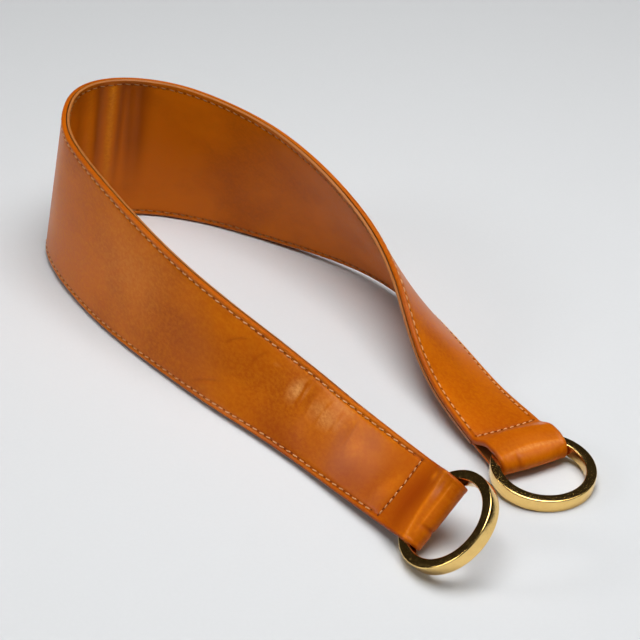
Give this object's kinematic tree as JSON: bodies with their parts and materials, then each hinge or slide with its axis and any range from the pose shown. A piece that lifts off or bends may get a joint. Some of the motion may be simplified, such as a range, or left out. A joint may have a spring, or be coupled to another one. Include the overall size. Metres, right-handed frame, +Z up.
{
  "type": "camera neck strap",
  "caption": "Two-ply leather neck strap, wide in the middle and narrow at the ends, folded round a flat brass ring at each end, lying in an open loop.",
  "frame": {"origin": "middle of the part's box, on the surface it lies on", "axes": "+Z up; +Y runs from the rings towards the wide middle of the strap, which is the long way of the lying loop; +X to the right as seen from the rings"},
  "size_m": [0.2244, 0.2792, 0.0696],
  "materials": {
    "leather": "glossy tan",
    "lining_leather": "satin tan",
    "brass": "polished"
  },
  "bodies": {
    "root": {"outer_ply": "leather", "inner_ply": "lining_leather", "ring_a": "brass", "ring_b": "brass"}
  },
  "joints": []
}
